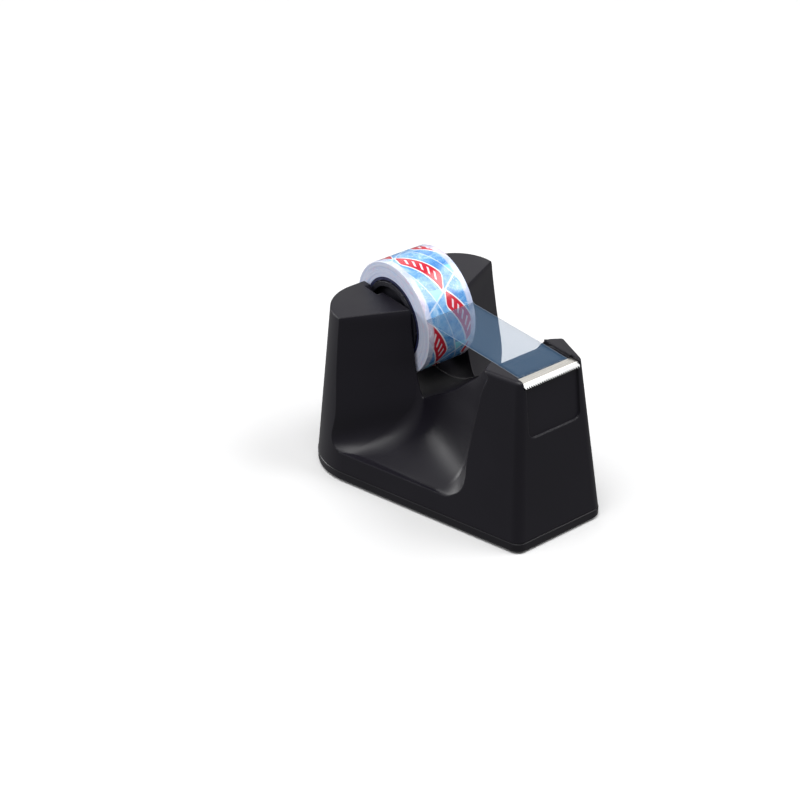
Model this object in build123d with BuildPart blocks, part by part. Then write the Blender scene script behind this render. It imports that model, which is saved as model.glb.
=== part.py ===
"""Desk tape dispenser: a hollow wedge-shaped housing on a weighted base, a serrated cutter blade,
and a hub on a lift-out axle that carries a roll of 19 mm tape.

Frame: millimetres, +Z up, +X towards the cutter blade, +Y across the roll, symmetric about y = 0.
The origin is on the desk, under the middle of the footprint.
"""
from math import atan2, cos, hypot, radians, sin, sqrt, tan
from build123d import *
import os

os.makedirs("parts", exist_ok=True)

# ---------------------------------------------------------------- housing walls
length = 92.4                 # front to back at the seam
front_x = length / 2
rear_x = -length / 2
side_slope = 0.286            # each side wall widens by this much per mm towards the back
front_half_width = 16.95      # half width at the seam, where side and front wall would meet
seam_z = 3.8                  # top of the base plate, foot of the housing
cap_z = 57.0                  # top of the two rear cheeks
crest_z = 57.4                # top of the two front cheeks
front_inset = 5.85            # how far each wall leans in between the seam and cap_z
rear_inset = 5.0
side_inset = 6.2
rear_radius_low = 20.0        # rear corners in plan, at the seam and at cap_z
rear_radius_high = 14.6
front_radius_low = 3.8        # front corners in plan
front_radius_high = 2.6
wall = 2.2                    # shell thickness
cap_crown = 0.4               # the rear cheeks fall by this much towards the sides
roof_z = 53.8                 # ceiling of the hollow inside
crest_radius = 1.3            # rounding of the shoulders at crest_z

# ---------------------------------------------------------------- tape roll and the slot for it
tape_width = 19.0
tape_gauge = 0.12             # the free end, drawn thicker than the real 0.05 mm film
core_bore_radius = 13.0       # standard 26 mm core
core_radius = 13.9
roll_radius = 19.1            # about 10 m of tape
axis_x = -27.0
axis_z = 49.0
slot_half = 10.5              # half width of the slot between the cheeks
trough_radius = 27.4          # room for a full 33 m roll
trough_rear_z = 29.0          # where the slot leaves the rear wall
trough_front_angle = 31.0     # the round trough ends this far in front of the lowest point
ramp_middle = (-1.05, 32.7)   # the trough rises to the front tower in a shallow curve
ramp_top = (16.5, 47.0)
tower_rear = (19.0, 50.0)
tower_shoulder = (22.9, 54.0)
platform_z = 56.4             # the free end of the tape rests on this
platform_rear_x = 29.2

# ---------------------------------------------------------------- axle and hub
axle_radius = 2.5
axle_half_length = 12.3
seat_half = 12.6              # the slots in the cheeks end here
seat_radius = 2.6
seat_tilt = 42.0              # the slots lean back by this angle from the vertical
seat_block = (-42.0, -20.0, 43.0)   # solid plastic around the slots: rear, front, underside
bore_radius = 2.55
peel_angle = 19.6             # the free end leaves the roll at this angle above the axle
roll_gap = 0.3                # the free end stands still while the roll turns
lay_gap = 0.06                # between the free end and the platform
hub_half = 10.0
hub_radius = 12.6
hub_rim = 1.6
hub_web = 1.4
web_inset = 1.6               # the webs lie this far inside the hub's ends
hub_boss_radius = 4.6
rib_count = 12
rib_size = (0.7, 0.35)        # crush ribs that grip the core: width, height
post_count = 3
post_ring_radius = 8.2
post_radius = 1.9
peg_radius = 1.1
peg_length = 3.0
peg_gap = 0.05

# ---------------------------------------------------------------- blade
blade_half = 10.85
blade_gauge = 0.4
blade_rear_x = 36.45
blade_crease_x = 39.45
blade_top_z = 56.5
blade_drop = 38.0             # the toothed strip bends down by this angle
blade_strip = 2.1             # its width, teeth included
tooth_count = 26
tooth_height = 0.75
flange_depth = 4.5            # the blade's hidden rear flange, pressed into the housing
flange_half = 8.0

# ---------------------------------------------------------------- base
plate_bottom_z = 0.5          # the feet lift the plate this far
plate_inset = -0.15           # the plate stands this much proud of the housing
lip_height = 2.4
lip_gap = 0.5
lip_thickness = 1.4
screw_places = [(-35.0, 9.0), (-35.0, -9.0), (2.0, 9.0), (2.0, -9.0)]
screw_shank = 1.5
screw_hole = 1.3
screw_length = 11.0
head_radius = 2.8
head_height = 1.6
boss_radius = 3.0
ballast_inset = 4.4
ballast_top_z = 7.8
foot_depth = 1.0              # the feet sit this deep in the plate
foot_width = 6.0
foot_places = [(-34.0, 20.5, 15.0), (-34.0, -20.5, 15.0), (33.0, 0.0, 17.0)]   # x, y, length along y

# ---------------------------------------------------------------- thumb recess under the blade
recess_bottom_z = 38.0
recess_half = 10.2
recess_depth = 0.6
recess_corner = 2.4

# The side scoop in plan, at a few heights: where its rear edge meets the side wall, where that edge
# meets the slot (x at slot_half), where the flank meets the slot, where the flank turns outwards
# behind the front tower, where it meets the side wall.
scoop_high = [
    (27.0, (-25.2, -34.6), -10.8, -10.8, (19.8, -14.6), (24.8, -20.0)),
    (38.0, (-25.8, -32.9), -13.8, 6.0, (21.2, -13.0), (25.7, -18.2)),
    (49.0, (-26.1, -31.5), -15.3, 18.2, (23.6, -12.3), (26.9, -16.5)),
    (59.5, (-26.2, -30.4), -16.0, 26.5, (28.0, -12.0), (29.5, -14.6)),
]
scoop_steps = 3               # levels per stretch between two of those heights
# Below the slot the two edges meet in a valley: height, rear, valley, its radius, turn, front.
scoop_low = [
    (10.5, (-23.0, -35.8), (-17.0, -31.5), 16.0, (13.0, -24.2), (18.5, -23.9)),
    (12.0, (-25.0, -36.1), (-15.0, -26.0), 14.0, (16.0, -22.3), (21.5, -23.2)),
    (15.0, (-26.2, -35.7), (-13.0, -19.6), 11.0, (18.0, -19.0), (23.9, -21.9)),
    (20.0, (-25.5, -35.3), (-11.4, -13.8), 7.0, (19.0, -16.2), (24.9, -20.9)),
]
scoop_top_radius = 3.0
scoop_turn_radius = 3.0
scoop_overrun = 14.0          # how far each level runs on past the side wall

axis_plane = Plane(origin=(axis_x, 0, axis_z), x_dir=(1, 0, 0), z_dir=(0, -1, 0))


# ---------------------------------------------------------------- housing
def wedge_outline(height, inset=0.0):
    """Plan outline of the drafted wedge at one height, moved inwards by inset."""
    rise = (height - seam_z) / (cap_z - seam_z)
    x_front = front_x - front_inset * rise - inset
    x_rear = rear_x + rear_inset * rise + inset
    at_front = front_half_width - (side_inset * rise + inset) * hypot(1, side_slope)
    near = at_front + side_slope * (front_x - x_front)
    far = at_front + side_slope * (front_x - x_rear)
    rear_radius = rear_radius_low + (rear_radius_high - rear_radius_low) * rise - inset
    front_radius = front_radius_low + (front_radius_high - front_radius_low) * rise - inset
    with BuildSketch(Plane.XY.offset(height)) as outline:
        Polygon((x_front, -near), (x_front, near), (x_rear, far), (x_rear, -far), align=None)
        fillet(outline.vertices().group_by(Axis.X)[-1], max(front_radius, 1.0))
        fillet(outline.vertices().group_by(Axis.X)[0], rear_radius)
    return outline.sketch


def blend(low, high, share):
    """A value, or a point, part of the way from low to high."""
    if isinstance(low, tuple):
        return tuple(blend(one, other, share) for one, other in zip(low, high))
    return low + (high - low) * share


def valley_point(rear, rear_slot_x, flank_slot_x, turn):
    """Where the lines of the rear edge and of the flank cross, inside the slot."""
    rear_run = (rear[0] - rear_slot_x) / (rear[1] + slot_half)
    flank_run = (turn[0] - flank_slot_x) / (turn[1] + slot_half)
    rise = (flank_slot_x - rear_slot_x) / (rear_run - flank_run)
    return (rear_slot_x + rear_run * rise, rise - slot_half)


def upper_level(level):
    """A level given by where its edges meet the slot, turned into one with a valley and a radius."""
    height, rear, rear_slot_x, flank_slot_x, turn, front = level
    valley = valley_point(rear, rear_slot_x, flank_slot_x, turn)
    return (height, rear, valley, scoop_top_radius, turn, front)


def scoop_levels():
    """All levels of the scoop, from its floor up: height, rear, valley, radius, turn, front."""
    levels = list(scoop_low)
    for low, high in zip(scoop_high, scoop_high[1:]):
        for step in range(scoop_steps):
            levels.append(upper_level(blend(low, high, step / scoop_steps)))
    levels.append(upper_level(scoop_high[-1]))
    return levels


def run_on(start, end):
    """The point reached by going on from start through end, past the side wall."""
    step = (end[0] - start[0], end[1] - start[1])
    reach = 1 + scoop_overrun / hypot(*step)
    return (start[0] + step[0] * reach, start[1] + step[1] * reach)


def scoop_outline(level, grow):
    """Plan outline of the left scoop at one height, grown by grow into the housing."""
    height, rear, valley, radius, turn, front = level
    rear_end = run_on(valley, rear)
    front_end = run_on(turn, front)
    outer = min(rear_end[1], front_end[1]) - scoop_overrun
    with BuildSketch(Plane.XY.offset(height - grow)) as outline:
        Polygon(rear_end, valley, turn, front_end, (front_end[0], outer), (rear_end[0], outer), align=None)
        fillet(outline.vertices().sort_by_distance((*valley, height - grow))[0], radius)
        fillet(outline.vertices().sort_by_distance((*turn, height - grow))[0], scoop_turn_radius)
        if grow:
            offset(amount=grow)
    return outline.sketch


def scoops(grow=0.0):
    """The two blocks that the side scoops take away."""
    with BuildPart() as block:
        for level in scoop_levels():
            add(scoop_outline(level, grow))
        loft()
        mirror(about=Plane.XZ)
    return block.part


def slot(grow=0.0):
    """The space for the roll: round trough, ramp, back of the front tower, open at the top."""
    rear_reach = sqrt(trough_radius**2 - (axis_z - trough_rear_z) ** 2)
    trough_start = (axis_x - rear_reach, trough_rear_z)
    trough_end = (
        axis_x + trough_radius * sin(radians(trough_front_angle)),
        axis_z - trough_radius * cos(radians(trough_front_angle)),
    )
    above = crest_z + 10
    behind = rear_x - 10
    with BuildPart() as block:
        with BuildSketch(Plane.XZ) as profile:
            with BuildLine():
                Line((behind, trough_rear_z), trough_start)
                ThreePointArc(trough_start, (axis_x, axis_z - trough_radius), trough_end)
                ThreePointArc(trough_end, ramp_middle, ramp_top)
                Line(ramp_top, tower_rear)
                ThreePointArc(tower_rear, tower_shoulder, (platform_rear_x, platform_z))
                Line((platform_rear_x, platform_z), (platform_rear_x, above))
                Line((platform_rear_x, above), (behind, above))
                Line((behind, above), (behind, trough_rear_z))
            make_face()
            if grow:
                offset(amount=grow)
        extrude(amount=slot_half + grow, both=True)
    return block.part


def hollow():
    """The space inside the shell, open at the seam, with the screw bosses left standing."""
    with BuildPart() as space:
        add(wedge_outline(seam_z - 1.0, wall))
        add(wedge_outline(roof_z, wall))
        loft(ruled=True)
        add(scoops(wall), mode=Mode.SUBTRACT)
        add(slot(wall), mode=Mode.SUBTRACT)
        rear, front, underside = seat_block
        with Locations(((rear + front) / 2, 0, (underside + crest_z) / 2)):
            Box(front - rear, 2 * (seat_half + wall), crest_z - underside, mode=Mode.SUBTRACT)
        with BuildSketch(Plane.XY):
            with Locations(*screw_places):
                Circle(boss_radius)
        extrude(amount=roof_z, mode=Mode.SUBTRACT)
    return space.part


def cap_trim():
    """What is cut off above the crowned tops of the rear cheeks."""
    reach = length / 2
    edge = cap_z - 2 * cap_crown
    with BuildPart() as block:
        with BuildSketch(Plane.YZ.offset(rear_x - 1)):
            with BuildLine():
                ThreePointArc((-reach, edge), (0, cap_z + 0.2), (reach, edge))
                Line((reach, edge), (reach, crest_z + 5))
                Line((reach, crest_z + 5), (-reach, crest_z + 5))
                Line((-reach, crest_z + 5), (-reach, edge))
            make_face()
        extrude(amount=-rear_x + platform_rear_x / 2)
    return block.part


def blade_seat():
    """The ledge under the blade, the slope under its toothed strip, and the slot for its flange."""
    under = blade_top_z - blade_gauge
    step_z = under - 1.5
    with BuildPart() as block:
        with BuildSketch(Plane.XZ):
            Polygon(
                (blade_rear_x - 0.1, under), (blade_crease_x - 0.6, under), (blade_crease_x + 1.2, step_z),
                (front_x, step_z), (front_x, crest_z + 5), (blade_rear_x - 0.1, crest_z + 5),
                align=None,
            )
        extrude(amount=blade_half + 0.15, both=True)
        with Locations((blade_rear_x + blade_gauge / 2, 0, under - flange_depth / 2)):
            Box(blade_gauge + 0.04, 2 * flange_half + 0.2, flange_depth + 0.6)
    return block.part


def axle_seats():
    """The two blind slots in the cheeks, leaning back, that the ends of the axle drop into."""
    rise = crest_z - axis_z + 5
    with BuildPart() as block:
        with BuildSketch(axis_plane):
            Circle(seat_radius)
            with Locations(Rotation(0, 0, seat_tilt)):
                with Locations((0, rise / 2)):
                    Rectangle(2 * seat_radius, rise)
        extrude(amount=seat_half, both=True)
    return block.part


def thumb_recess():
    """The shallow recess in the front wall below the blade."""
    lean = atan2(front_inset, cap_z - seam_z)
    face = Plane(origin=(front_x, 0, seam_z), x_dir=(0, 1, 0), z_dir=(cos(lean), 0, sin(lean)))
    foot = (recess_bottom_z - seam_z) / cos(lean)
    height = crest_z
    with BuildPart() as block:
        with BuildSketch(face):
            with Locations((0, foot + height / 2)):
                RectangleRounded(2 * recess_half, height, recess_corner)
        extrude(amount=recess_depth, both=True)
    return block.part


with BuildPart() as housing:
    add(wedge_outline(seam_z))
    add(wedge_outline(crest_z))
    loft(ruled=True)
    fillet(housing.faces().sort_by(Axis.Z)[-1].edges(), crest_radius)
    add(scoops(), mode=Mode.SUBTRACT)
    add(slot(), mode=Mode.SUBTRACT)
    add(cap_trim(), mode=Mode.SUBTRACT)
    with Locations((platform_rear_x + length / 2, 0, platform_z + 5)):
        Box(length, 2 * slot_half, 10, mode=Mode.SUBTRACT)
    add(thumb_recess(), mode=Mode.SUBTRACT)
    add(blade_seat(), mode=Mode.SUBTRACT)
    add(axle_seats(), mode=Mode.SUBTRACT)
    add(hollow(), mode=Mode.SUBTRACT)
    with BuildSketch(Plane.XY.offset(seam_z)):
        with Locations(*screw_places):
            Circle(screw_hole)
    extrude(amount=screw_length, mode=Mode.SUBTRACT)
housing.part.label = "housing"


# ---------------------------------------------------------------- base
with BuildPart() as base_plate:
    add(wedge_outline(seam_z, plate_inset))
    extrude(amount=-(seam_z - plate_bottom_z))
    chamfer(base_plate.edges().group_by(Axis.Z)[0], 0.5)
    chamfer(base_plate.edges().group_by(Axis.Z)[-1], 0.3)
    add(wedge_outline(seam_z, wall + lip_gap))
    extrude(amount=lip_height)
    add(wedge_outline(seam_z, wall + lip_gap + lip_thickness))
    extrude(amount=lip_height, mode=Mode.SUBTRACT)
    with Locations(*[Location((x, y, plate_bottom_z), (180, 0, 0)) for x, y in screw_places]):
        CounterBoreHole(screw_shank + 0.1, head_radius + 0.2, head_height, depth=seam_z)
    with BuildSketch(Plane.XY.offset(plate_bottom_z)):
        for x, y, reach in foot_places:
            with Locations((x, y)):
                RectangleRounded(foot_width + 0.2, reach + 0.2, 1.6)
    extrude(amount=foot_depth, mode=Mode.SUBTRACT)
base_plate.part.label = "base_plate"

with BuildPart() as ballast:
    add(wedge_outline(seam_z, ballast_inset))
    extrude(amount=ballast_top_z - seam_z)
    with BuildSketch(Plane.XY.offset(seam_z)):
        with Locations(*screw_places):
            Circle(boss_radius + 0.4)
    extrude(amount=ballast_top_z - seam_z, mode=Mode.SUBTRACT)
    chamfer(ballast.edges().group_by(Axis.Z)[-1], 0.4)
ballast.part.label = "ballast"

with BuildPart() as anti_slip_feet:
    with BuildSketch(Plane.XY):
        for x, y, reach in foot_places:
            with Locations((x, y)):
                RectangleRounded(foot_width, reach, 1.5)
    extrude(amount=plate_bottom_z + foot_depth)
    chamfer(anti_slip_feet.edges().group_by(Axis.Z)[0], 0.3)
anti_slip_feet.part.label = "anti_slip_feet"

with BuildPart() as base_screws:
    head_top = plate_bottom_z + head_height
    with BuildSketch(Plane.XY.offset(head_top)):
        with Locations(*screw_places):
            Circle(head_radius)
    extrude(amount=-head_height + 0.1)
    with BuildSketch(Plane.XY.offset(head_top)):
        with Locations(*screw_places):
            Circle(screw_hole)
    extrude(amount=screw_length)
    with BuildSketch(Plane.XY.offset(plate_bottom_z)):
        with Locations(*screw_places):
            Rectangle(2.6, 0.7)
            Rectangle(0.7, 2.6)
    extrude(amount=0.9, mode=Mode.SUBTRACT)
base_screws.part.label = "base_screws"


# ---------------------------------------------------------------- cutter blade
def blade_profile():
    """Side view of the blade: hidden flange, flat top, toothed strip bent down."""
    drop = radians(blade_drop)
    along = (cos(drop), -sin(drop))
    across = (-sin(drop) * blade_gauge, -cos(drop) * blade_gauge)
    crease = (blade_crease_x, blade_top_z)
    tip = (crease[0] + along[0] * blade_strip, crease[1] + along[1] * blade_strip)
    bend = (crease[0] - blade_gauge * tan(drop / 2), blade_top_z - blade_gauge)
    return [
        (blade_rear_x, blade_top_z), crease, tip,
        (tip[0] + across[0], tip[1] + across[1]), bend, (blade_rear_x, blade_top_z - blade_gauge),
    ]


with BuildPart() as cutter_blade:
    with BuildSketch(Plane.XZ):
        Polygon(*blade_profile(), align=None)
    extrude(amount=blade_half, both=True)
    with Locations((blade_rear_x + blade_gauge / 2, 0, blade_top_z - flange_depth / 2)):
        Box(blade_gauge, 2 * flange_half, flange_depth)
    tooth_pitch = 2 * blade_half / tooth_count
    tip_x, tip_z = blade_profile()[2]
    strip = Plane(
        origin=(tip_x, 0, tip_z),
        x_dir=(0, 1, 0),
        z_dir=(sin(radians(blade_drop)), 0, cos(radians(blade_drop))),
    )
    with BuildSketch(strip):
        for tooth in range(tooth_count + 1):
            valley = (tooth - tooth_count / 2) * tooth_pitch
            with Locations((valley, 0)):
                Polygon(
                    (-tooth_pitch / 2, -0.1), (tooth_pitch / 2, -0.1), (tooth_pitch / 2, 0),
                    (0, tooth_height), (-tooth_pitch / 2, 0), align=None,
                )
    extrude(amount=1.0, both=True, mode=Mode.SUBTRACT)
cutter_blade.part.label = "cutter_blade"


# ---------------------------------------------------------------- axle, hub, core, roll and free end
with BuildPart() as axle:
    with BuildSketch(axis_plane):
        Circle(axle_radius)
    extrude(amount=axle_half_length, both=True)
    chamfer(axle.edges(), 0.4)
axle.part.label = "axle"


def hub_half_part(side):
    """One half of the hub, from the middle out to one end: rim, web, bore and joining posts."""
    face = Plane(origin=(axis_x, 0, axis_z), x_dir=(1, 0, 0), z_dir=(0, side, 0))
    web_at = hub_half - web_inset - hub_web
    with BuildPart() as half:
        with BuildSketch(face):
            Circle(hub_radius)
            with PolarLocations(hub_radius, rib_count):
                Rectangle(2 * rib_size[1], rib_size[0])
            Circle(hub_radius - hub_rim, mode=Mode.SUBTRACT)
        extrude(amount=hub_half)
        with BuildSketch(face.offset(web_at)):
            Circle(hub_radius - hub_rim)
        extrude(amount=hub_web)
        with BuildSketch(face):
            Circle(hub_boss_radius)
            with PolarLocations(post_ring_radius, post_count):
                Circle(post_radius)
        extrude(amount=web_at)
        with BuildSketch(face):
            Circle(bore_radius)
        extrude(amount=hub_half, mode=Mode.SUBTRACT)
        with BuildSketch(face):
            with PolarLocations(post_ring_radius, post_count):
                Circle(peg_radius if side < 0 else peg_radius + peg_gap)
        if side < 0:
            extrude(amount=-peg_length)
        else:
            extrude(amount=peg_length + 0.2, mode=Mode.SUBTRACT)
    return half.part


with BuildPart() as hub_left:
    add(hub_half_part(-1))
hub_left.part.label = "hub_left"

with BuildPart() as hub_right:
    add(hub_half_part(1))
hub_right.part.label = "hub_right"


def ring(inner, outer):
    """A ring as wide as the tape, around the axle."""
    with BuildPart() as block:
        with BuildSketch(axis_plane):
            Circle(outer)
            Circle(inner, mode=Mode.SUBTRACT)
        extrude(amount=tape_width / 2, both=True)
    return block.part


with BuildPart() as tape_core:
    add(ring(core_bore_radius, core_radius))
tape_core.part.label = "tape_core"

with BuildPart() as tape_roll:
    add(ring(core_radius, roll_radius))
tape_roll.part.label = "tape_roll"

with BuildPart() as tape_end:
    peel = radians(peel_angle)
    reach = roll_radius + roll_gap
    start = (axis_x + reach * cos(peel), axis_z + reach * sin(peel))
    landing = (platform_rear_x - 1.5, platform_z + lay_gap)
    finish = (blade_rear_x - 0.1, platform_z + lay_gap)
    with BuildSketch(Plane.XZ):
        Polygon(
            start, landing, finish,
            (finish[0], finish[1] + tape_gauge), (landing[0], landing[1] + tape_gauge),
            (start[0], start[1] + tape_gauge), align=None,
        )
    extrude(amount=tape_width / 2, both=True)
tape_end.part.label = "tape_end"

pieces = [
    housing, base_plate, ballast, anti_slip_feet, base_screws, cutter_blade,
    axle, hub_left, hub_right, tape_core, tape_roll, tape_end,
]
for piece in pieces:
    export_step(piece.part, f"parts/{piece.part.label}.step")
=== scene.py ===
import math

import bmesh
import bpy
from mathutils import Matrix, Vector


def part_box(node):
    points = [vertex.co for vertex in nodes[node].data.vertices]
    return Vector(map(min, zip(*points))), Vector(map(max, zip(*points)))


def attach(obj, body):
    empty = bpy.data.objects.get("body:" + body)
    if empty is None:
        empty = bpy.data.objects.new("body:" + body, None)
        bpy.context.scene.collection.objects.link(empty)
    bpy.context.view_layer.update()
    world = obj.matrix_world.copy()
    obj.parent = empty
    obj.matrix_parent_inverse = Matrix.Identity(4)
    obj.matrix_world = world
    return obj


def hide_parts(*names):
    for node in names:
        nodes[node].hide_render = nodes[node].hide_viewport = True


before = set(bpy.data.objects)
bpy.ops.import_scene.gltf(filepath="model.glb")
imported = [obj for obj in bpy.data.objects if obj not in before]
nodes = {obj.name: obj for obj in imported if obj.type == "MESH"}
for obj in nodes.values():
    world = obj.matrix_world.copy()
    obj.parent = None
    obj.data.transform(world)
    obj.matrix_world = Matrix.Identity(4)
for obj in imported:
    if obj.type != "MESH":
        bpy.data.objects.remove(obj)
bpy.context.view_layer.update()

MM = 0.001
scene = bpy.context.scene

# The roll's axis and sizes and the top of the blade, in metres, read from the CAD nodes themselves.
roll_low, roll_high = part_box("tape_roll")
core_low, core_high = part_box("tape_core")
end_low, end_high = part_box("tape_end")
AXIS_X = (roll_low.x + roll_high.x) / 2
AXIS_Z = (roll_low.z + roll_high.z) / 2
ROLL_R = (roll_high.x - roll_low.x) / 2
CORE_R = (core_high.x - core_low.x) / 2
HALF_W = (roll_high.y - roll_low.y) / 2
BLADE_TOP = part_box("cutter_blade")[1].z


# ---------------------------------------------------------------- node graphs
class Graph:
    """One material, built by short calls. Inputs are other nodes' sockets or plain numbers."""

    def __init__(self, name):
        self.material = bpy.data.materials.new(name)
        self.material.use_nodes = True
        self.tree = self.material.node_tree
        self.tree.nodes.clear()
        self.shader = self.tree.nodes.new("ShaderNodeBsdfPrincipled")
        output = self.tree.nodes.new("ShaderNodeOutputMaterial")
        self.tree.links.new(self.shader.outputs[0], output.inputs["Surface"])
        place = self.tree.nodes.new("ShaderNodeTexCoord")
        self.place = place.outputs["Object"]

    def feed(self, socket, value):
        if isinstance(value, bpy.types.NodeSocket):
            self.tree.links.new(value, socket)
        elif isinstance(value, (tuple, list)) and socket.type == "RGBA":
            socket.default_value = (*value[:3], 1.0)
        else:
            socket.default_value = value

    def set(self, **values):
        """Shader inputs by name, with _ for a space."""
        for name, value in values.items():
            self.feed(self.shader.inputs[name.replace("_", " ")], value)
        return self

    def math(self, operation, a, b=0.0):
        node = self.tree.nodes.new("ShaderNodeMath")
        node.operation = operation
        self.feed(node.inputs[0], a)
        self.feed(node.inputs[1], b)
        return node.outputs[0]

    def add(self, a, b):
        return self.math("ADD", a, b)

    def sub(self, a, b):
        return self.math("SUBTRACT", a, b)

    def mul(self, a, b):
        return self.math("MULTIPLY", a, b)

    def size(self, a):
        return self.math("ABSOLUTE", a)

    def least(self, a, b):
        return self.math("MINIMUM", a, b)

    def most(self, a, b):
        return self.math("MAXIMUM", a, b)

    def step(self, value, low, high, low_out=0.0, high_out=1.0):
        """A smooth step of value from low_out to high_out."""
        node = self.tree.nodes.new("ShaderNodeMapRange")
        node.interpolation_type = "SMOOTHSTEP"
        names = ("Value", "From Min", "From Max", "To Min", "To Max")
        for name, x in zip(names, (value, low, high, low_out, high_out)):
            self.feed(node.inputs[name], x)
        return node.outputs["Result"]

    def axes(self, vector):
        node = self.tree.nodes.new("ShaderNodeSeparateXYZ")
        self.feed(node.inputs[0], vector)
        return node.outputs[0], node.outputs[1], node.outputs[2]

    def vector(self, x, y, z):
        node = self.tree.nodes.new("ShaderNodeCombineXYZ")
        for socket, value in zip(node.inputs, (x, y, z)):
            self.feed(socket, value)
        return node.outputs[0]

    def noise(self, vector, scale, detail=3.0, rough=0.5, warp=0.0):
        node = self.tree.nodes.new("ShaderNodeTexNoise")
        self.feed(node.inputs["Vector"], vector)
        for name, x in (("Scale", scale), ("Detail", detail), ("Roughness", rough), ("Distortion", warp)):
            node.inputs[name].default_value = x
        return node.outputs[0]

    def cells(self, vector, scale):
        node = self.tree.nodes.new("ShaderNodeTexVoronoi")
        self.feed(node.inputs["Vector"], vector)
        node.inputs["Scale"].default_value = scale
        return node.outputs["Distance"]

    def mix(self, share, a, b):
        node = self.tree.nodes.new("ShaderNodeMix")
        node.data_type = "RGBA"
        self.feed(node.inputs[0], share)
        self.feed(node.inputs[6], a)
        self.feed(node.inputs[7], b)
        return node.outputs[2]

    def ramp(self, value, *stops):
        node = self.tree.nodes.new("ShaderNodeValToRGB")
        self.feed(node.inputs[0], value)
        points = node.color_ramp.elements
        while len(points) < len(stops):
            points.new(0.5)
        for point, (at, colour) in zip(points, stops):
            point.position = at
            point.color = (*colour, 1.0)
        return node.outputs[0]

    def bump(self, height, distance, strength=1.0, normal=None):
        node = self.tree.nodes.new("ShaderNodeBump")
        self.feed(node.inputs["Height"], height)
        node.inputs["Distance"].default_value = distance
        node.inputs["Strength"].default_value = strength
        if normal is not None:
            self.feed(node.inputs["Normal"], normal)
        return node.outputs[0]

    def soft_edges(self, radius):
        node = self.tree.nodes.new("ShaderNodeBevel")
        node.samples = 6
        node.inputs["Radius"].default_value = radius
        return node.outputs[0]


def moulded_plastic(name, colour, rough, grain=0.006, edge=0.65, specular=0.34):
    """Spark-eroded black plastic: fine grain, slightly uneven sheen, edges softly rounded. Lengths in mm."""
    g = Graph(name)
    fine = g.noise(g.place, 3600.0, 2.0, 0.6)
    broad = g.noise(g.place, 60.0, 3.0, 0.5)
    darker = tuple(c * 0.82 for c in colour)
    lighter = tuple(c * 1.22 for c in colour)
    g.set(
        Base_Color=g.ramp(g.add(g.mul(fine, 0.6), g.mul(broad, 0.4)), (0.3, darker), (0.7, lighter)),
        Roughness=g.add(g.step(broad, 0.3, 0.7, rough - 0.03, rough + 0.03), g.mul(g.sub(fine, 0.5), 0.10)),
        Specular_IOR_Level=specular,
        Normal=g.bump(fine, grain * MM, 1.0, g.soft_edges(edge * MM)),
    )
    return g.material


body_plastic = moulded_plastic("body_plastic", (0.0052, 0.0043, 0.0086), 0.42)
base_plastic = moulded_plastic("base_plastic", (0.0052, 0.0045, 0.0080), 0.40, edge=0.2)
hub_plastic = moulded_plastic("hub_plastic", (0.010, 0.010, 0.016), 0.38, grain=0.003, edge=0.2, specular=0.5)


def core_plastic():
    """The core ring: dark indigo, with faint turning lines around it."""
    g = Graph("core_plastic")
    _, y, _ = g.axes(g.place)
    lines = g.noise(g.vector(0.0, y, 0.0), 5200.0, 2.0, 0.6)
    patch = g.noise(g.place, 240.0, 3.0)
    g.set(
        Base_Color=g.ramp(patch, (0.3, (0.010, 0.012, 0.045)), (0.7, (0.022, 0.026, 0.085))),
        Roughness=g.step(patch, 0.3, 0.7, 0.30, 0.42),
        Normal=g.bump(lines, 0.004 * MM),
    )
    return g.material


def cast_iron():
    """The weight in the base: pitted grey iron with a few brown patches."""
    g = Graph("ballast_iron")
    pits = g.noise(g.place, 900.0, 6.0, 0.7)
    rust = g.noise(g.place, 120.0, 5.0, 0.6)
    g.set(
        Base_Color=g.ramp(
            rust, (0.35, (0.09, 0.085, 0.08)), (0.6, (0.15, 0.14, 0.13)), (0.75, (0.20, 0.12, 0.08)),
        ),
        Metallic=0.7,
        Roughness=g.step(pits, 0.3, 0.7, 0.5, 0.75),
        Normal=g.bump(pits, 0.15 * MM),
    )
    return g.material


def rubber():
    """The feet: matt black rubber with pale dust in its grain."""
    g = Graph("foot_rubber")
    dust = g.noise(g.place, 500.0, 5.0, 0.65)
    g.set(
        Base_Color=g.ramp(dust, (0.35, (0.018, 0.018, 0.018)), (0.75, (0.045, 0.044, 0.042))),
        Roughness=g.step(dust, 0.3, 0.7, 0.72, 0.9),
        Specular_IOR_Level=0.3,
        Normal=g.bump(g.noise(g.place, 3000.0, 3.0), 0.02 * MM),
    )
    return g.material


def zinc():
    """The screws: zinc-plated steel with a fine spangle."""
    g = Graph("screw_steel")
    spangle = g.cells(g.place, 1400.0)
    g.set(
        Base_Color=g.ramp(spangle, (0.0, (0.50, 0.51, 0.54)), (1.0, (0.66, 0.66, 0.64))),
        Metallic=1.0,
        Roughness=g.step(spangle, 0.0, 1.0, 0.26, 0.4),
        Normal=g.bump(g.noise(g.place, 2500.0, 2.0), 0.006 * MM),
    )
    return g.material


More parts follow.
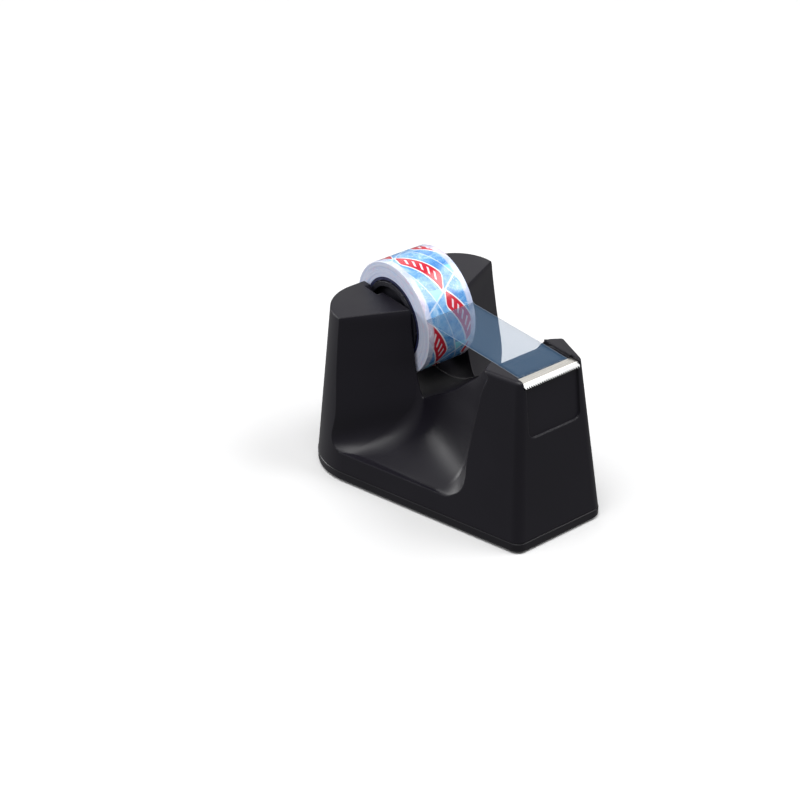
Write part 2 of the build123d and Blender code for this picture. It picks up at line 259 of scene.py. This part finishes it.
def blade_steel():
    """Rolled strip steel: fine lines along the blade. Below the flat top face the steel colour is painted
    darker: painted shade on the bent strip and the teeth.
    """
    g = Graph("blade_steel")
    x, y, z = g.axes(g.place)
    brushed = g.noise(g.vector(g.mul(x, 9000.0), g.mul(y, 260.0), g.mul(z, 9000.0)), 1.0, 4.0, 0.6)
    patch = g.noise(g.place, 160.0, 2.0)
    flat = g.ramp(brushed, (0.25, (0.52, 0.50, 0.46)), (0.75, (0.72, 0.70, 0.66)))
    # painted shade: `ground` is a darker copy of the same steel, put on the bent strip and the teeth to hold
    # down the lamp's reflection there
    ground = g.ramp(brushed, (0.25, (0.17, 0.17, 0.17)), (0.75, (0.27, 0.27, 0.27)))
    g.set(
        # the flat top face keeps the plain steel colour; everything lower gets the painted shade
        Base_Color=g.mix(g.step(z, BLADE_TOP - 0.10 * MM, BLADE_TOP - 0.02 * MM), ground, flat),
        Metallic=1.0,
        Roughness=g.add(g.step(patch, 0.3, 0.7, 0.24, 0.32), g.mul(g.sub(brushed, 0.5), 0.12)),
        Normal=g.bump(brushed, 0.004 * MM, 1.0, g.soft_edges(0.06 * MM)),
    )
    return g.material


# ---------------------------------------------------------------- the wound tape
PRINT_HALF = 7.3              # mm: the print ends here, and a clear margin is left at each edge
REPEAT_A = (19.87, 6.2)       # mm around the roll and across it, from one label to the next in a row
REPEAT_B = (6.78, -10.33)     # and to the next row: 5 A + 3 B is once around
LABEL_AT = (5.4, -1.6)        # the middle of the first label: mm around from the top, and across
LABEL_TILT = math.radians(27.0)
LABEL_HALF = (7.3, 1.25)      # mm: the label's straight part, without the border's round
BAR_PITCH = 2.6               # mm from one slanted bar to the next


def wrapper():
    """The outermost turn: mottled blue print with a plain generic pattern, seen through clear film."""
    g = Graph("roll_wrapper")
    x, y, z = g.axes(g.place)
    dx, dz = g.sub(x, AXIS_X), g.sub(z, AXIS_Z)
    around = g.mul(g.math("ARCTAN2", dx, dz), ROLL_R / MM)
    across = g.mul(y, 1 / MM)
    s, w = g.sub(around, LABEL_AT[0]), g.sub(across, LABEL_AT[1])

    # the cell of the repeat that this point is in, and the place within it
    area = REPEAT_A[0] * REPEAT_B[1] - REPEAT_A[1] * REPEAT_B[0]
    u = g.sub(g.mul(s, REPEAT_B[1] / area), g.mul(w, REPEAT_B[0] / area))
    v = g.sub(g.mul(w, REPEAT_A[0] / area), g.mul(s, REPEAT_A[1] / area))
    fu, fv = g.sub(u, g.math("ROUND", u)), g.sub(v, g.math("ROUND", v))
    cs = g.add(g.mul(fu, REPEAT_A[0]), g.mul(fv, REPEAT_B[0]))
    cw = g.add(g.mul(fu, REPEAT_A[1]), g.mul(fv, REPEAT_B[1]))

    # mottled water-blue ground with white flecks; noise in space has no seam around the roll
    ground = g.noise(g.place, 210.0, 7.0, 0.62, 1.2)
    flecks = g.noise(g.place, 620.0, 6.0, 0.7, 2.0)
    blue = g.ramp(
        ground,
        (0.28, (0.030, 0.155, 0.50)), (0.45, (0.085, 0.30, 0.66)),
        (0.56, (0.21, 0.46, 0.76)), (0.72, (0.46, 0.64, 0.84)),
    )
    blue = g.mix(g.mul(g.step(flecks, 0.56, 0.68), 0.75), blue, (0.70, 0.78, 0.90))
    # every other facet of the pattern is a shade paler or darker
    facet = g.step(g.add(fu, g.mul(fv, 0.35)), -0.02, 0.02)
    blue = g.mix(g.mul(facet, 0.22), blue, (0.045, 0.19, 0.55))

    # thin white lines between the cells, by the distance from the cell's nearest side
    line_u = g.mul(g.sub(0.5, g.size(fu)), 10.5)
    line_v = g.mul(g.sub(0.5, g.size(fv)), 10.8)
    lines = g.step(g.least(line_u, line_v), 0.07, 0.24, 1.0, 0.0)

    # a pale cyan corner where two lines cross
    corner = g.add(g.mul(g.sub(0.5, fu), 13.0), g.mul(g.sub(0.5, g.size(fv)), 5.4))
    cyan = g.mul(g.step(corner, 2.6, 2.8, 1.0, 0.0), g.step(fv, -0.02, 0.0, 0.0, 1.0))

    # a plain red label with rounded ends, a white border and slanted white bars
    along = g.add(g.mul(cs, math.cos(LABEL_TILT)), g.mul(cw, math.sin(LABEL_TILT)))
    aside = g.sub(g.mul(cw, math.cos(LABEL_TILT)), g.mul(cs, math.sin(LABEL_TILT)))
    aside = g.add(aside, g.mul(g.mul(along, along), 0.012))
    slant = g.add(along, g.mul(aside, 0.9))
    far_a = g.most(g.sub(g.size(slant), LABEL_HALF[0]), 0.0)
    far_b = g.most(g.sub(g.size(aside), LABEL_HALF[1]), 0.0)
    edge = g.math("SQRT", g.add(g.mul(far_a, far_a), g.mul(far_b, far_b)))
    border = g.step(edge, 1.25, 1.40, 1.0, 0.0)
    label = g.step(edge, 0.82, 0.95, 1.0, 0.0)
    beat = g.size(g.sub(g.math("FRACT", g.mul(g.add(slant, 30.0), 1 / BAR_PITCH)), 0.5))
    bars = g.mul(g.step(beat, 0.13, 0.19, 1.0, 0.0), g.step(g.size(aside), 1.0, 1.15, 1.0, 0.0))
    bars = g.mul(bars, g.step(g.size(slant), 6.4, 6.5, 1.0, 0.0))

    colour = g.mix(cyan, blue, (0.24, 0.66, 0.85))
    colour = g.mix(g.mul(lines, 0.62), colour, (0.78, 0.84, 0.94))
    colour = g.mix(border, colour, (0.84, 0.86, 0.93))
    colour = g.mix(label, colour, (0.56, 0.010, 0.032))
    colour = g.mix(g.mul(bars, label), colour, (0.82, 0.72, 0.78))

    # the clear margins: what lies under them is pale and blurred
    haze = g.noise(g.place, 330.0, 4.0, 0.6)
    margin = g.ramp(haze, (0.35, (0.50, 0.55, 0.74)), (0.6, (0.68, 0.70, 0.84)), (0.75, (0.76, 0.64, 0.76)))
    ragged = g.add(g.size(across), g.mul(g.sub(haze, 0.5), 0.8))
    at_edge = g.step(ragged, PRINT_HALF - 0.25, PRINT_HALF + 0.35)
    colour = g.mix(g.mul(at_edge, 0.86), colour, margin)
    ripple = g.noise(g.vector(g.mul(around, 0.05), g.mul(across, 1.4), 0.0), 1.0, 3.0)
    g.set(
        Base_Color=colour,
        Roughness=g.step(haze, 0.3, 0.7, 0.20, 0.30),
        Coat_Weight=0.6,
        Coat_Roughness=0.12,
        Normal=g.bump(ripple, 0.03 * MM),
    )
    return g.material


def wound_side():
    """The side of the roll: hundreds of film edges, pale lilac, with print showing through in streaks."""
    g = Graph("roll_side")
    x, _, z = g.axes(g.place)
    dx, dz = g.sub(x, AXIS_X), g.sub(z, AXIS_Z)
    radius = g.mul(g.math("SQRT", g.add(g.mul(dx, dx), g.mul(dz, dz))), 1 / MM)
    unit_x, unit_z = g.math("DIVIDE", dx, g.mul(radius, MM)), g.math("DIVIDE", dz, g.mul(radius, MM))
    fine = g.noise(g.vector(0.0, radius, 0.0), 9.0, 4.0, 0.7)
    bunch = g.noise(g.vector(g.mul(unit_x, 0.4), radius, g.mul(unit_z, 0.4)), 1.3, 3.0, 0.6)
    streak_at = g.vector(g.mul(unit_x, 3.2), g.mul(radius, 0.55), g.mul(unit_z, 3.2))
    streak = g.noise(streak_at, 2.2, 5.0, 0.65, 0.6)
    tint_at = g.vector(g.mul(unit_x, 2.6), g.mul(radius, 0.8), g.mul(unit_z, 2.6))
    tint = g.noise(tint_at, 1.9, 4.0, 0.6, 0.4)
    pale = g.ramp(bunch, (0.3, (0.52, 0.58, 0.78)), (0.5, (0.64, 0.69, 0.86)), (0.72, (0.74, 0.77, 0.90)))
    pale = g.mix(g.mul(g.step(tint, 0.53, 0.68), 0.55), pale, (0.42, 0.60, 0.86))
    pale = g.mix(g.mul(g.step(streak, 0.56, 0.68), 0.60), pale, (0.86, 0.42, 0.56))
    pale = g.mix(g.mul(g.step(fine, 0.45, 0.75), 0.25), pale, (0.36, 0.40, 0.60))
    rim = g.step(radius, ROLL_R / MM - 0.55, ROLL_R / MM - 0.15)
    pale = g.mix(g.mul(rim, 0.7), pale, (0.82, 0.84, 0.93))
    g.set(
        Base_Color=pale,
        Roughness=g.step(fine, 0.3, 0.7, 0.26, 0.42),
        Coat_Weight=0.25,
        Coat_Roughness=0.25,
        Normal=g.bump(g.add(fine, g.mul(bunch, 1.5)), 0.05 * MM),
    )
    return g.material


def clear_film():
    """The free end: clear film that scatters a little blue; its cut edges catch the light."""
    g = Graph("end_film")
    x, y, _ = g.axes(g.place)
    edge = g.step(g.size(y), HALF_W - 0.22 * MM, HALF_W - 0.04 * MM)
    drawn = g.noise(g.vector(g.mul(x, 40.0), g.mul(y, 1500.0), 0.0), 1.0, 3.0)
    haze = g.ramp(drawn, (0.3, (0.050, 0.125, 0.235)), (0.7, (0.062, 0.145, 0.262)))
    g.set(
        Base_Color=g.mix(edge, haze, (0.45, 0.52, 0.62)),
        Alpha=g.step(edge, 0.0, 1.0, 0.27, 0.45),
        Roughness=g.step(drawn, 0.3, 0.7, 0.10, 0.18),
        Specular_IOR_Level=0.35,
    )
    return g.material


def wave(n):
    """A short, fixed wave, for the small uneven steps between the turns of the roll."""
    return math.sin(n * 1.7) * 0.5 + math.sin(n * 0.61 + 1.0) * 0.35 + math.sin(n * 3.9 + 2.0) * 0.15


def mesh_object(name, verts, faces, materials, body, material_of=None):
    """A smooth-shaded piece that rides on a body; material_of says which material a face has."""
    mesh = bpy.data.meshes.new(name)
    mesh.from_pydata(verts, [], faces)
    for material in materials:
        mesh.materials.append(material)
    for polygon in mesh.polygons:
        polygon.use_smooth = True
        if material_of:
            polygon.material_index = material_of(polygon)
    mesh.update()
    piece = bpy.data.objects.new(name, mesh)
    scene.collection.objects.link(piece)
    bm = bmesh.new()
    bm.from_mesh(mesh)
    bmesh.ops.recalc_face_normals(bm, faces=bm.faces)
    bm.to_mesh(mesh)
    bm.free()
    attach(piece, body)
    return piece


def wound_roll():
    """The wound tape: turns that stand a hair proud of each other at the sides, softened outer corners."""
    turns, flat_steps, around = 40, 16, 256
    core_gap = 0.02 * MM            # the innermost turn stands clear of the core
    side_w, proud = HALF_W - 0.05 * MM, 0.028 * MM
    corner_r = 0.20 * MM
    flat_half = HALF_W - 0.26 * MM  # the outer face is flat up to here, and its corners are round
    side = []
    for n in range(turns + 1):
        radius = CORE_R + core_gap + (ROLL_R - corner_r - core_gap - CORE_R) * n / turns
        side.append((radius, side_w + proud * wave(n)))
    corner = [
        (ROLL_R - corner_r * (1 - math.sin(a)), flat_half + corner_r * math.cos(a))
        for a in (math.radians(degrees) for degrees in (22.5, 45.0, 67.5))
    ]
    flat = [(ROLL_R, flat_half - 2 * flat_half * n / flat_steps) for n in range(flat_steps + 1)]
    profile = side + corner + flat
    profile += [(r, -w) for r, w in reversed(corner)] + [(r, -w) for r, w in reversed(side)]
    verts, faces = [], []
    for k in range(around):
        a = math.tau * k / around
        for r, w in profile:
            verts.append((AXIS_X + r * math.sin(a), w, AXIS_Z + r * math.cos(a)))
    count = len(profile)
    for k in range(around):
        for n in range(count):
            here, on = k * count, ((k + 1) % around) * count
            faces.append((here + n, here + (n + 1) % count, on + (n + 1) % count, on + n))

    def kind(polygon):
        """The print on the outermost turn, and the film edges everywhere else."""
        centre = polygon.center
        radius = math.hypot(centre.x - AXIS_X, centre.z - AXIS_Z)
        return 0 if radius > ROLL_R - 0.12 * MM and abs(centre.y) < HALF_W - 0.1 * MM else 1

    piece = mesh_object("wound_tape", verts, faces, [wrapper(), wound_side()], "reel", kind)
    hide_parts("tape_roll")


def free_end():
    """The film from the roll to the blade: it peels off with a tight bend and lies down on the platform."""
    flat_z = end_high.z - 0.12 * MM
    landing_x = 25.1 * MM
    peel = math.radians(20.5)       # where around the roll the film leaves it, up from level
    peel_r = ROLL_R + 0.03 * MM
    bend_r, bend_turn = 0.9 * MM, math.radians(62.0)
    soft = 1.2 * MM                 # half the length of the bend where it lands
    gauge = 0.05 * MM
    bend_steps, run_steps, flat_steps, rows = 8, 25, 5, 12

    # the film's underside, seen from the side as (x, z): tight bend, straight run, landing, flat
    start = Vector((AXIS_X + peel_r * math.cos(peel), AXIS_Z + peel_r * math.sin(peel)))
    landing = Vector((landing_x, flat_z))
    run = (landing - start).normalized()
    side = Vector((-run.y, run.x))
    foot = start + run * bend_r * math.sin(bend_turn)
    path = []
    for n in range(bend_steps + 1):
        a = bend_turn * (1 - n / bend_steps)
        path.append(foot - run * bend_r * math.sin(a) + side * bend_r * (1 - math.cos(a)))
    for n in range(1, run_steps):
        path.append(foot + (landing - foot) * (n / run_steps))
    path[-1] = landing - run * soft
    path.append(landing + Vector((soft * 0.1, soft * 0.03)) * 0.2)
    path.append(landing + Vector((soft, 0.0)))
    for n in range(1, flat_steps + 1):
        path.append(Vector((landing_x + soft + (end_high.x - landing_x - soft) * n / flat_steps, flat_z)))

    # the two faces, one gauge apart, joined along both sides and at both ends
    verts, faces = [], []
    for top in (1, 0):
        for p in path:
            for k in range(rows + 1):
                w = -HALF_W + 2 * HALF_W * k / rows
                verts.append((p.x, w, p.y + gauge * top))
    wide, layer = rows + 1, len(path) * (rows + 1)
    for top in (0, 1):
        for n in range(len(path) - 1):
            for k in range(rows):
                a = top * layer + n * wide + k
                faces.append((a, a + 1, a + wide + 1, a + wide))
    for n in range(len(path) - 1):
        for k in (0, rows):
            a = n * wide + k
            faces.append((a, a + wide, a + wide + layer, a + layer))
    for n in (0, len(path) - 1):
        for k in range(rows):
            a = n * wide + k
            faces.append((a, a + 1, a + 1 + layer, a + layer))
    piece = mesh_object("free_end", verts, faces, [clear_film()], "carrier")
    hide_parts("tape_end")


# ---------------------------------------------------------------- looks of the CAD nodes
looks = {
    "housing": body_plastic,
    "base_plate": base_plastic,
    "ballast": cast_iron(),
    "anti_slip_feet": rubber(),
    "base_screws": zinc(),
    "cutter_blade": blade_steel(),
    "axle": hub_plastic,
    "hub_left": hub_plastic,
    "hub_right": hub_plastic,
    "tape_core": core_plastic(),
}
for name, material in looks.items():
    slots = nodes[name].data.materials
    slots.clear()
    slots.append(material)

wound_roll()
free_end()


# ---------------------------------------------------------------- floor, light, camera
def floor():
    """A plain pale table top, faintly uneven so that it isn't one flat number."""
    g = Graph("pale_floor")
    cloud = g.noise(g.place, 3.0, 2.0)
    g.set(
        Base_Color=g.ramp(cloud, (0.3, (0.72, 0.72, 0.722)), (0.7, (0.74, 0.74, 0.742))),
        Roughness=g.step(cloud, 0.3, 0.7, 0.72, 0.78),
        Specular_IOR_Level=0.2,
    )
    mesh = bpy.data.meshes.new("floor")
    bm = bmesh.new()
    bmesh.ops.create_grid(bm, x_segments=4, y_segments=4, size=6.0)
    bm.to_mesh(mesh)
    bm.free()
    mesh.materials.append(g.material)
    piece = bpy.data.objects.new("floor", mesh)
    scene.collection.objects.link(piece)
    piece.visible_diffuse = False
    piece.visible_glossy = False


floor()


LAMPS_AIM = Vector((0.0, 0.0, 0.03))


def softbox(name, place, wide, high, watts):
    """A white lamp, turned to the middle of the object."""
    light = bpy.data.lights.new(name, "AREA")
    light.shape = "RECTANGLE"
    light.size = wide
    light.size_y = high
    light.energy = watts
    lamp = bpy.data.objects.new(name, light)
    scene.collection.objects.link(lamp)
    lamp.location = place
    lamp.rotation_euler = (LAMPS_AIM - Vector(place)).to_track_quat("-Z", "Y").to_euler()


softbox("key_softbox", (0.10, -0.32, 1.12), 0.8, 0.7, 11.5)
softbox("right_softbox", (0.42, 0.62, 0.92), 0.8, 0.7, 9.0)
softbox("left_softbox", (-1.00, -0.62, 0.26), 0.44, 0.30, 7.5)
softbox("back_softbox", (-0.80, 0.63, 0.66), 0.9, 0.6, 1.4)

world = bpy.data.worlds.new("studio")
scene.world = world
world.use_nodes = True
background = world.node_tree.nodes["Background"].inputs
background["Color"].default_value = (1.0, 1.0, 1.0, 1.0)
background["Strength"].default_value = 0.30

camera_data = bpy.data.cameras.new("camera")
camera_data.sensor_width = 36.0
camera_data.lens = 87.69
camera_data.shift_x = -0.075
camera_data.clip_start = 0.01
camera_data.clip_end = 50.0
camera = bpy.data.objects.new("camera", camera_data)
scene.collection.objects.link(camera)
camera.location = (0.41403, -0.33106, 0.35914)
target = Vector((-0.00411, 0.0, 0.02549))
camera.rotation_euler = (target - camera.location).to_track_quat("-Z", "Y").to_euler()
scene.camera = camera
scene.view_settings.view_transform = "Standard"
